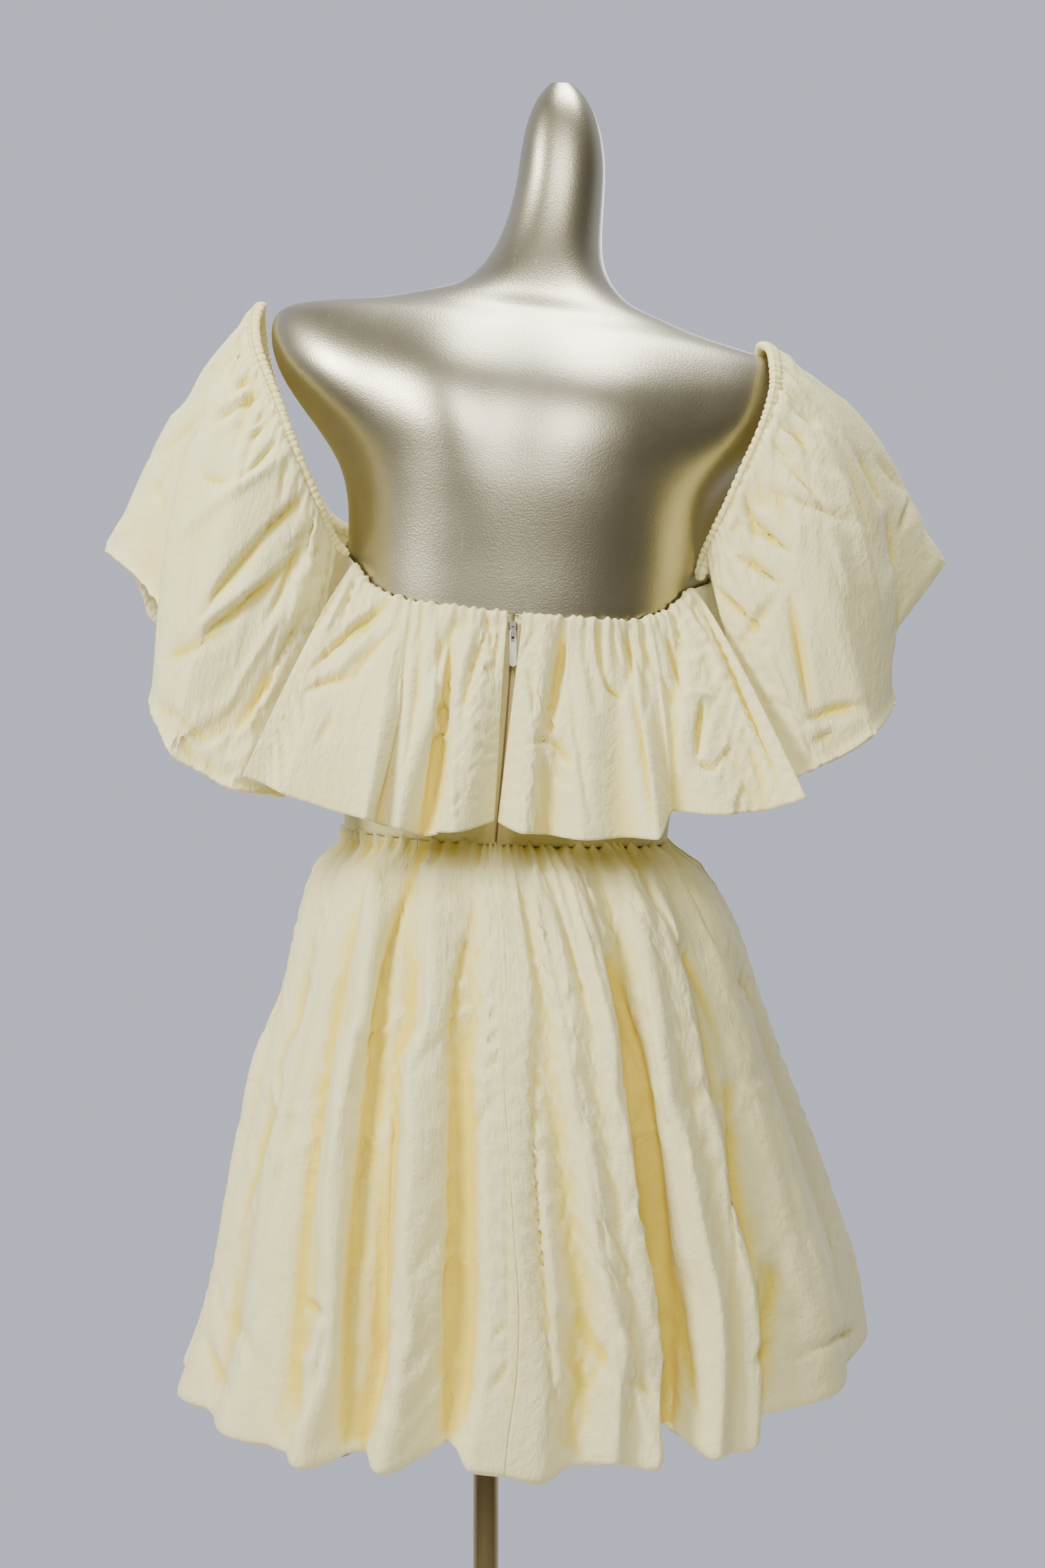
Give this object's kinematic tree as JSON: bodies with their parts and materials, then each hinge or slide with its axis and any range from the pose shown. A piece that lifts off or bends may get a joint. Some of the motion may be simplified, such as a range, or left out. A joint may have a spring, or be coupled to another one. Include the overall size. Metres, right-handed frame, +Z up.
{
  "type": "off-shoulder dress on a limbless dress form and pole stand",
  "caption": "Mini dress with a fitted bodice, wide neckline flounces, ruched off-shoulder sleeves and a gathered skirt turned under at the hem, on a limbless torso form and pole stand.",
  "frame": {"origin": "centre of the stand's round base, on its underside, where the stand's axis meets the floor", "axes": "+Z up along the pole; +Y towards the garment's front, so its zipped back faces -Y; +X to the wearer's right"},
  "size_m": [0.621, 0.4096, 1.5965],
  "materials": {
    "yellow_poplin": "matt cotton poplin, butter yellow",
    "satin_gold": "champagne gold satin",
    "stand_metal": "satin gold plate",
    "zip_metal": "polished",
    "ivory_enamel": "gloss enamel, ivory",
    "zip_tape": "woven tape, brown"
  },
  "bodies": {
    "dress_and_form": {"stand_base": "stand_metal", "stand_hub": "stand_metal", "stand_collar": "stand_metal", "stand_pole": "stand_metal", "form_body": "satin_gold", "bodice_back_left": "yellow_poplin", "bodice_back_right": "yellow_poplin", "bodice_front": "yellow_poplin", "skirt_back_left": "yellow_poplin", "skirt_back_right": "yellow_poplin", "skirt_front": "yellow_poplin", "flounce_back_left": "yellow_poplin", "flounce_back_right": "yellow_poplin", "flounce_front": "yellow_poplin", "sleeve_left": "yellow_poplin", "sleeve_right": "yellow_poplin", "elastic_left": "yellow_poplin", "elastic_right": "yellow_poplin", "zip_tape": "zip_tape", "zip_slider": "zip_metal", "closure_eye": "zip_metal", "closure_hook": "zip_metal"},
    "pull_tab": {"zip_pull_tab": "ivory_enamel"}
  },
  "joints": [
    {"name": "pull_tab_swing", "type": "hinge", "parent": "dress_and_form", "child": "pull_tab", "pos_m": [0.02009, -0.11349, 1.1846], "axis": [-1, 0, 0], "range_deg": [0, 150]}
  ]
}
